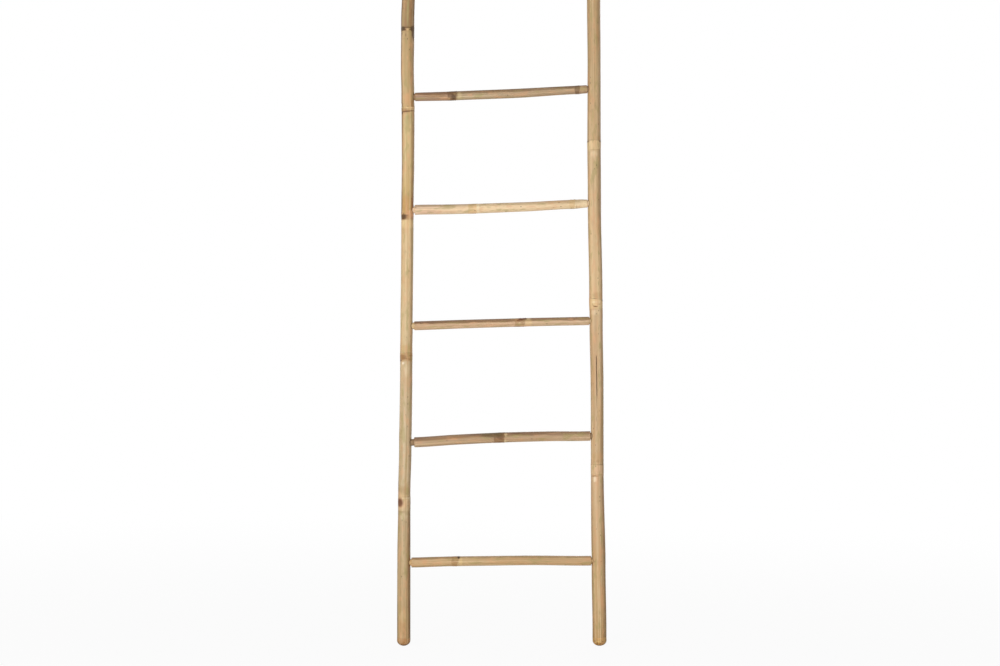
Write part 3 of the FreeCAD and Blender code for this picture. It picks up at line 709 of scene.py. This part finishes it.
def grow_rail(culm, joints):
    """A rail: rounded foot, knots, a dimple at each mortise, and a sawn tip that is open down to its last knot."""
    knots = [Knot(culm, at, number) for number, at in enumerate(culm.knots)]
    pegs = peg_places(culm)
    fine = fine_at(knots, 3 * MM) + [(0.0, 6 * MM), (culm.high, 1.5 * MM)] + [(z, 3.2 * MM) for _, z in pegs]
    fine += [(z + side * MORTISE_RIM, 0.8 * MM) for z in joints[:, 2] for side in (-1, 1)]
    at, angle = stations_along(culm, fine), rail_angles(culm)
    rows, turn = np.meshgrid(at, angle, indexing="ij")
    plain = culm.thickness(at)[:, None]
    radius = np.repeat(plain, len(angle), axis=1)
    for number, knot in enumerate(knots):
        radius += knot.relief(rows, turn) * (1 if number else FIRST_KNOT_SHARE)
    radius = np.minimum(radius, plain + PROUDEST)
    below_dome = np.clip(1 - (rows + FOOT_FLAT) / FOOT_HEIGHT, 0, 1)
    foot = radius[np.searchsorted(at, FOOT_HEIGHT)]
    radius = np.minimum(radius, foot * np.sqrt(1 - below_dome**2))
    rim = culm.high - TIP_CHAMFER
    radius -= np.clip(rows - rim, 0, None)
    # the ring of painted shade round each mortise, and the dimple
    dimple, stain_and_shade = round_mortises(culm, around_the_culm(culm, at, angle, radius), joints)
    radius -= DIMPLE_DEPTH * dimple
    if culm.node == SPLIT["rail"]:
        gash, shade = split_marks(culm, rows, turn, radius)
        radius -= SPLIT["depth"] * gash
        stain_and_shade = np.maximum(stain_and_shade, shade)
    points = around_the_culm(culm, at, angle, radius)
    stain_and_shade = np.maximum(stain_and_shade, 0.25 * (1 - rise(rows, *FOOT_STAIN)))
    for x, z in pegs:
        away = np.hypot(points[..., 0] - x, points[..., 2] - z)
        stain_and_shade = np.maximum(stain_and_shade, 0.8 * (1 - rise(away, *PEG_STAIN)) * (points[..., 1] > 0))
    cut = rise(rows, rim - 0.3 * MM, rim + 0.3 * MM)
    marks = np.stack([cut, stain_and_shade, np.zeros_like(cut)], axis=-1)

    down, hollow = hollow_tip(culm, angle)
    inner_marks = np.zeros((*hollow.shape, 3))
    inner_marks[:, :, 0] = inner_marks[1:, :, 2] = 1
    fresh = np.broadcast_to(paint(FRESH_CUT), inner_marks.shape)
    tone = weathered_and_shaded_tone(culm, at, angle, radius, knots)
    outside = points, fibre_place(culm, at, angle, radius), tone, marks
    inside = around_the_culm(culm, down, angle, hollow), fibre_place(culm, down, angle, hollow), fresh, inner_marks
    return make_culm(culm, *(np.concatenate(both) for both in zip(outside, inside)))


# ---- rungs


KNIFE_CUTS = 8
KNIFE_REACH = 9 * MM
FIRST_SEED = 400
RIGHT_EDGE = 0.7 * MM  # rounding of the right shoulder
TENON_EDGE = 0.02 * MM  # length over which a shoulder drops to its tenon
CUFFED = "rung_4"  # the right end of this one is pared down to a neck
CUFF_RADIUS = 9.5 * MM
SEAMED = ("rung_1", "rung_2")  # a dark ring runs round these short of the right shoulder
SEAM_BACK = 4 * MM
MOST_RELIEF = {"plain": 0.6 * MM, "cuffed": 1.0 * MM}


def whittled(turn, past, least, full, length, flat, seed):
    """The radius where a knife has rounded an end: past is the distance from the shoulder."""
    radius = np.full(turn.shape, 1.0)
    for k in range(KNIFE_CUTS):
        facing = 2 * math.pi * (k + seed.uniform(-0.25, 0.25)) / KNIFE_CUTS
        reach = length * seed.uniform(0.7, 1.5)
        t = np.clip(past / reach, 0, 1)
        level = least + (full + 0.3 * MM - least) * np.sqrt(1 - (1 - t) ** 2)
        cosine = np.clip(np.cos(turn_from(turn, facing)), 0.6, 1)
        radius = np.minimum(radius, level / (1 - flat + flat * cosine))
    return radius


def rung_stations(culm, knots, left_shoulder, right_shoulder):
    """Where a rung's rings of points are, with sharp steps at both shoulders."""
    ends = [(left_shoulder, 4 * MM), (right_shoulder, 1.5 * MM), (culm.low, 0.3 * MM), (culm.high, 0.3 * MM)]
    at = stations_along(culm, fine_at(knots, 2.5 * MM) + ends)
    edges = [left_shoulder - TENON_EDGE, left_shoulder, right_shoulder - RIGHT_EDGE, right_shoulder]
    edges = np.array([*edges, right_shoulder + TENON_EDGE])
    clear = np.abs(at[:, None] - edges).min(axis=1) > 0.15 * MM
    return np.unique(np.concatenate([at[clear], edges]))


def grow_rung(culm):
    """A rung: a tenon at each end, the whittled shoulder behind it, and the skin and knots between."""
    seed = np.random.default_rng(FIRST_SEED + ord(culm.node[-1]))
    knots = [Knot(culm, at, number) for number, at in enumerate(culm.knots)]
    left_shoulder, left, right, right_shoulder = (culm.rings[k][0] for k in (2, 3, -4, -3))
    tenon, neck = culm.rings[0][4], culm.rings[2][4]
    length, flat, bare_tone = RUNG_LOOKS[culm.node][:3]
    cuffed = culm.node == CUFFED
    at = rung_stations(culm, knots, left_shoulder, right_shoulder)
    angle = np.linspace(0, 2 * math.pi, AROUND["rung"], endpoint=False)
    rows, turn = np.meshgrid(at, angle, indexing="ij")
    full = culm.thickness(np.clip(at, left, right - (2 * MM if cuffed else 0)))
    skin = np.repeat(full[:, None], len(angle), axis=1)
    radius = skin.copy()
    for knot in knots:
        radius += knot.relief(rows, turn) * rise(rows, left, left + 3 * MM)
    radius = np.minimum(radius, skin + MOST_RELIEF["cuffed" if cuffed else "plain"])
    knife = whittled(turn, rows - left_shoulder, neck, skin, length * MM, flat, seed)
    radius = np.where(rows < left_shoulder + KNIFE_REACH, np.minimum(radius, knife), radius)
    if cuffed:
        pared = CUFF_RADIUS + 0.9 * MM * rise(rows, right_shoulder, right - 1 * MM) + 0.15 * MM * np.sin(5 * turn)
        radius = np.where(rows > right - 1.5 * MM, np.minimum(radius, pared), radius)
    blunt = np.clip(rows - (right_shoulder - RIGHT_EDGE), 0, RIGHT_EDGE)
    radius -= RIGHT_EDGE - np.sqrt(RIGHT_EDGE**2 - blunt**2)
    on_tenon = (rows < left_shoulder - TENON_EDGE / 2) | (rows > right_shoulder + TENON_EDGE / 2)
    bare = rise(skin - radius, 0.15 * MM, 0.6 * MM) * (rows < right_shoulder - 1.2 * MM)
    radius = np.where(on_tenon, tenon, radius)
    bare = np.where(on_tenon, 1.0, bare)
    tone = weathered_and_shaded_tone(culm, at, angle, radius, knots)
    tone = mixed(tone, bare_tone, 0.85 * (1 - rise(rows, left_shoulder, left_shoulder + 2 * MM)))
    tone = mixed(tone, bare_tone, 0.6 * (rows > right_shoulder - 0.3 * MM))
    seam = 0.7 * bell(rows - (right_shoulder - SEAM_BACK), 0.35 * MM) * (culm.node in SEAMED)
    marks = np.stack([bare, seam, np.zeros_like(bare)], axis=-1)
    points, places = around_the_culm(culm, at, angle, radius), fibre_place(culm, at, angle, radius)
    return make_culm(culm, points, places, tone, marks)


# ---- finishes


def feed(tree, socket, value):
    """Gives an input a value, or joins it to the output that makes the value."""
    if isinstance(value, bpy.types.NodeSocket):
        tree.links.new(value, socket)
    else:
        socket.default_value = value


def put(tree, kind, **settings):
    """A new node, with its own settings and with what its inputs are fed."""
    node = tree.nodes.new("ShaderNode" + kind)
    for key, value in settings.items():
        if hasattr(node, key):
            setattr(node, key, value)
        else:
            feed(tree, node.inputs[key.replace("_", " ")], value)
    return node


def effect(name, masks):
    """A shader group that makes masks from a place in the grain: its tree, its place and its outputs."""
    tree = bpy.data.node_groups.new(name, "ShaderNodeTree")
    tree.interface.new_socket("Place", in_out="INPUT", socket_type="NodeSocketVector")
    for label in masks:
        tree.interface.new_socket(label, in_out="OUTPUT", socket_type="NodeSocketFloat")
    return tree, tree.nodes.new("NodeGroupInput").outputs["Place"], tree.nodes.new("NodeGroupOutput").inputs


def maths(tree, operation, first, second, clamp=False):
    node = put(tree, "Math", operation=operation, use_clamp=clamp)
    feed(tree, node.inputs[0], first)
    feed(tree, node.inputs[1], second)
    return node.outputs[0]


def times(tree, first, second):
    return maths(tree, "MULTIPLY", first, second)


def eased(tree, value, low, high, start=0.0, end=1.0):
    """A value's way from low to high, eased and laid out from start to end."""
    ends = dict(From_Min=low, From_Max=high, To_Min=start, To_Max=end)
    return put(tree, "MapRange", interpolation_type="SMOOTHSTEP", Value=value, **ends).outputs[0]


def pattern(tree, kind, place, sizes, scale=1.0, **settings):
    """The outputs of a pattern whose place is scaled first, which gives it a grain's proportions."""
    scaled = put(tree, "VectorMath", operation="MULTIPLY")
    feed(tree, scaled.inputs[0], place)
    feed(tree, scaled.inputs[1], sizes)
    return put(tree, "Tex" + kind, Vector=scaled.outputs[0], Scale=scale, **settings).outputs


def fibre_grain():
    """Fine threads and broader streaks that run the length of a culm."""
    tree, place, out = effect("Fibre grain", ("Threads", "Streaks", "Ribbons", "Clouds"))
    for label, sizes, detail in (
        ("Threads", (1300, 1300, 16), 3.0),
        ("Streaks", (330, 330, 3.2), 2.0),
        ("Ribbons", (125, 125, 1.7), 1.5),
        ("Clouds", (50, 50, 9), 3.0),
    ):
        feed(tree, out[label], pattern(tree, "Noise", place, sizes, Detail=detail, Roughness=0.55)["Fac"])
    return tree


def weather_marks():
    """Small dark specks and short scratches, thinly scattered, mildew and broad soft patches."""
    tree, place, out = effect("Weather marks", ("Specks", "Scratches", "Mildew", "Patches"))
    for label, sizes, keep in (("Specks", (210, 210, 110), 0.9), ("Scratches", (420, 420, 34), 0.93)):
        cells = pattern(tree, "Voronoi", place, sizes)
        chosen = put(tree, "SeparateColor", Color=cells["Color"]).outputs[0]
        dot = eased(tree, cells["Distance"], 0.32, 0.12)
        feed(tree, out[label], times(tree, dot, eased(tree, chosen, keep, keep + 0.05)))
    mildew = pattern(tree, "Noise", place, (95, 95, 30), Detail=5.0, Roughness=0.65)["Fac"]
    feed(tree, out["Mildew"], eased(tree, mildew, 0.56, 0.76))
    patches = pattern(tree, "Noise", place, (110, 110, 34), Detail=2.0, Roughness=0.5)["Fac"]
    feed(tree, out["Patches"], patches)
    return tree


def sawn_fibres():
    """The dark dots of the fibre bundles on a cut end."""
    tree, place, out = effect("Sawn fibres", ("Bundles",))
    cells = pattern(tree, "Voronoi", place, (1500, 1500, 60), Randomness=0.9)
    feed(tree, out["Bundles"], eased(tree, cells["Distance"], 0.5, 0.15))
    return tree


def tinted(tree, base, colour, share):
    """One colour laid over another, as strongly as a mask or a number says."""
    node = put(tree, "Mix", data_type="RGBA", blend_type="MIX")
    over = (*paint(colour), 1.0) if isinstance(colour, tuple) else colour
    for number, value in ((0, share), (6, base), (7, over)):
        feed(tree, node.inputs[number], value)
    return node.outputs[2]


def new_finish(name):
    """A new material, its tree and its main shader."""
    material = bpy.data.materials.new(name)
    material.use_nodes = True
    return material, material.node_tree, material.node_tree.nodes["Principled BSDF"]


def raise_skin(tree, height, skin, **settings):
    """Fine relief on a finish, from a pattern of heights."""
    feed(tree, skin.inputs["Normal"], put(tree, "Bump", Height=height, **settings).outputs["Normal"])


# What is laid over a culm's own tone: a colour, the pattern that places it, where on the pattern it begins and
# is full, and how strong it is.
SKIN_TINTS = (
    ((148, 118, 74), "Ribbons", 0.5, 0.72, 0.4),
    ((236, 206, 160), "Ribbons", 0.5, 0.3, 0.4),
    ((150, 112, 66), "Streaks", 0.5, 0.78, 0.5),
    ((246, 226, 184), "Streaks", 0.48, 0.22, 0.42),
    ((206, 152, 100), "Clouds", 0.5, 0.75, 0.45),
    ((164, 150, 92), "Patches", 0.47, 0.3, 0.5),
    ((218, 164, 120), "Patches", 0.53, 0.7, 0.4),
)
SKIN_MARKS = (
    ((128, 104, 72), "Mildew", 0.3),
    ((84, 58, 38), "Specks", 0.6),
    ((108, 78, 50), "Scratches", 0.45),
)
# the stain brown darkens real stains and also the painted shade round the mortises and in the drying split
THREAD_BROWN, BUNDLE_BROWN, HOLLOW_BROWN, STAIN_AND_SHADE_BROWN = (132, 98, 64), (150, 112, 72), (176, 140, 96), (84, 56, 32)
# How much rougher than the wax the threads and a cut are.
THREAD_ROUGH, CUT_ROUGH = 0.22, 0.3
SKIN_SHINE = 0.36


def bamboo_skin(name, groups, wax_rough):
    """The waxy skin of a culm: its own tone, streaked, specked and worn, and pale wood where it is cut."""
    material, tree, skin = new_finish(name)
    place, tone, marks = (
        put(tree, "Attribute", attribute_name=layer).outputs[output]
        for layer, output in (("fibre", "Vector"), ("tone", "Color"), ("marks", "Color"))
    )
    cut, stain_and_shade, hollow = put(tree, "SeparateColor", Color=marks).outputs
    masks = {}
    for group in groups:
        masks.update(put(tree, "Group", node_tree=group, Place=place).outputs.items())
    threads = masks["Threads"]
    # dark places in the tone, stains and painted shade alike, stay dark: little is laid over them
    sound = eased(tree, put(tree, "RGBToBW", Color=tone).outputs[0], 0.05, 0.3, 0.12, 1.0)
    colour = tone
    for tint, mask, least, most, share in SKIN_TINTS:
        where = eased(tree, masks[mask], least, most, 0, share)
        colour = tinted(tree, colour, tint, times(tree, where, sound))
    colour = tinted(tree, colour, THREAD_BROWN, eased(tree, threads, 0.55, 0.8, 0, 0.3))
    for tint, mask, share in SKIN_MARKS:
        colour = tinted(tree, colour, tint, times(tree, masks[mask], share))
    wood = tinted(tree, tone, FRESH_CUT, 0.12)
    wood = tinted(tree, wood, BUNDLE_BROWN, times(tree, masks["Bundles"], 0.4))
    wood = tinted(tree, wood, HOLLOW_BROWN, times(tree, hollow, 0.6))
    # the stain channel brings real stains and painted shade alike
    colour = tinted(tree, tinted(tree, colour, wood, cut), STAIN_AND_SHADE_BROWN, times(tree, stain_and_shade, 0.85))
    rough = maths(tree, "ADD", times(tree, threads, THREAD_ROUGH), wax_rough)
    rough = maths(tree, "ADD", rough, times(tree, cut, CUT_ROUGH), clamp=True)
    for label, value in (("Base Color", colour), ("Roughness", rough), ("Specular IOR Level", SKIN_SHINE)):
        feed(tree, skin.inputs[label], value)
    height = maths(tree, "ADD", times(tree, threads, 0.6), masks["Streaks"])
    height = maths(tree, "SUBTRACT", height, times(tree, masks["Scratches"], 0.8))
    raise_skin(tree, height, skin, Strength=0.35, Distance=0.4 * MM)
    return material


PEG_TONES = ((0.35, (128, 92, 56)), (0.7, (226, 194, 142)))
PEG_ROUGH = 0.62


def peg_wood():
    """Split bamboo, dry and pale, for the pegs: their heads show dark fibre ends."""
    material, tree, skin = new_finish("Split bamboo peg")
    place = put(tree, "TexCoord").outputs["Object"]
    fibres = pattern(tree, "Noise", place, (1, 0.05, 1), scale=2400.0, Detail=3.0)["Fac"]
    ramp = put(tree, "ValToRGB")
    for stop, (position, colour) in zip(ramp.color_ramp.elements, PEG_TONES):
        stop.position, stop.color = position, (*paint(colour), 1)
    feed(tree, ramp.inputs[0], fibres)
    feed(tree, skin.inputs["Base Color"], ramp.outputs[0])
    feed(tree, skin.inputs["Roughness"], PEG_ROUGH)
    raise_skin(tree, fibres, skin, Strength=0.4, Distance=0.3 * MM)
    return material


# ---- studio

CAMERA_DISTANCE = 5.0
CAMERA_REACH = 100
PICTURE_WIDTH_AT_LADDER = 2.3866
PICTURE_MIDDLE = (-4.3 * MM, 745.8 * MM)
SENSOR = 36.0
# Name, place, what it is aimed at, width and power of each lamp.
LAMPS = (
    ("key", (-2.2, -4.0, 0.75), (0, 0, 0.8), 2.4, 102),
    ("low", (-0.4, -2.8, 0.2), (0, 0, 0.9), 1.6, 28),
    ("back", (1.2, 4.2, 1.1), (0, 0, 0.8), 2.4, 60),
)
ROOM_LIGHT = 0.4
FLOOR_REACH = 30.0
FLOOR_GREY = (0.93, 0.93, 0.93, 1)
# The floor as the camera sees it: how white near the ladder and far from it, and where near and far are.
FLOOR_WHITE_NEAR, FLOOR_WHITE_FAR = 0.92, 1.0
FLOOR_NEAR, FLOOR_FAR = 0.4, 4.0


def set_camera():
    """The picture's view: straight on, with the picture's middle and its width at the ladder."""
    camera = bpy.data.cameras.new("camera")
    camera.sensor_width = SENSOR
    camera.lens = SENSOR * CAMERA_DISTANCE / PICTURE_WIDTH_AT_LADDER
    camera.clip_end = CAMERA_REACH
    holder = in_scene("camera", camera)
    holder.location = (PICTURE_MIDDLE[0], -CAMERA_DISTANCE, PICTURE_MIDDLE[1])
    holder.rotation_euler = (math.pi / 2, 0, 0)
    bpy.context.scene.camera = holder


def soft_lamp(name, place, aim, size, power):
    lamp = bpy.data.lights.new(name, "AREA")
    lamp.shape, lamp.size, lamp.energy = "SQUARE", size, power
    holder = in_scene(name, lamp)
    holder.location = place
    holder.rotation_euler = (Vector(aim) - Vector(place)).to_track_quat("-Z", "Y").to_euler()


def blended(tree, share, first, second, out):
    """Shows the first shader, and the second as far as share says."""
    blend = put(tree, "MixShader")
    for socket, source in zip(blend.inputs, (share, first.outputs[0], second.outputs[0])):
        feed(tree, socket, source)
    feed(tree, out.inputs["Surface"], blend.outputs[0])


def white_surround():
    """An even grey-white light from all round, seen as plain white behind the ladder."""
    world = bpy.context.scene.world or bpy.data.worlds.new("studio")
    bpy.context.scene.world = world
    world.use_nodes = True
    tree = world.node_tree
    tree.nodes.clear()
    light, seen = (put(tree, "Background", Color=(1, 1, 1, 1), Strength=level) for level in (ROOM_LIGHT, 1.0))
    path = put(tree, "LightPath").outputs
    directly = maths(tree, "MAXIMUM", path["Is Camera Ray"], path["Is Transmission Ray"])
    directly = maths(tree, "MAXIMUM", directly, path["Is Glossy Ray"])
    blended(tree, directly, light, seen, put(tree, "OutputWorld"))


def pale_floor():
    """A floor that keeps the ladder's soft shadow and fades to plain white away from it."""
    mesh = bpy.data.meshes.new("floor")
    corners = [(x * FLOOR_REACH, y * FLOOR_REACH, 0) for x, y in ((-1, -1), (1, -1), (1, 1), (-1, 1))]
    mesh.from_pydata(corners, [], [(0, 1, 2, 3)])
    floor = in_scene("floor", mesh)
    material, tree, skin = new_finish("Pale floor")
    for label, value in (("Base Color", FLOOR_GREY), ("Roughness", 0.9), ("Specular IOR Level", 0.1)):
        feed(tree, skin.inputs[label], value)
    away = put(tree, "VectorMath", operation="LENGTH")
    feed(tree, away.inputs[0], put(tree, "TexCoord").outputs["Object"])
    whitening = eased(tree, away.outputs["Value"], FLOOR_NEAR, FLOOR_FAR, FLOOR_WHITE_NEAR, FLOOR_WHITE_FAR)
    whitening = times(tree, whitening, put(tree, "LightPath").outputs["Is Camera Ray"])
    blended(tree, whitening, skin, put(tree, "Emission", Strength=1.0), tree.nodes["Material Output"])
    mesh.materials.append(material)


# ---- the ladder


def main():
    set_camera()
    rails = [Culm(node, "rail") for node in RAILS]
    rungs = [Culm(node, "rung") for node in RUNGS]
    groups = (fibre_grain(), weather_marks(), sawn_fibres())
    rail_skin = bamboo_skin("Rail bamboo", groups, wax_rough=0.36)
    rung_skin = bamboo_skin("Rung bamboo", groups, wax_rough=0.4)
    for rail, joints in zip(rails, joint_places(rungs)):
        grow_rail(rail, joints).data.materials.append(rail_skin)
    for rung in rungs:
        grow_rung(rung).data.materials.append(rung_skin)
    peg = peg_wood()
    for node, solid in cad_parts.items():
        if "_peg_" in node:
            solid.data.materials.clear()
            solid.data.materials.append(peg)
    pale_floor()
    white_surround()
    for lamp in LAMPS:
        soft_lamp(*lamp)
    bpy.context.scene.view_settings.view_transform = "Standard"


main()
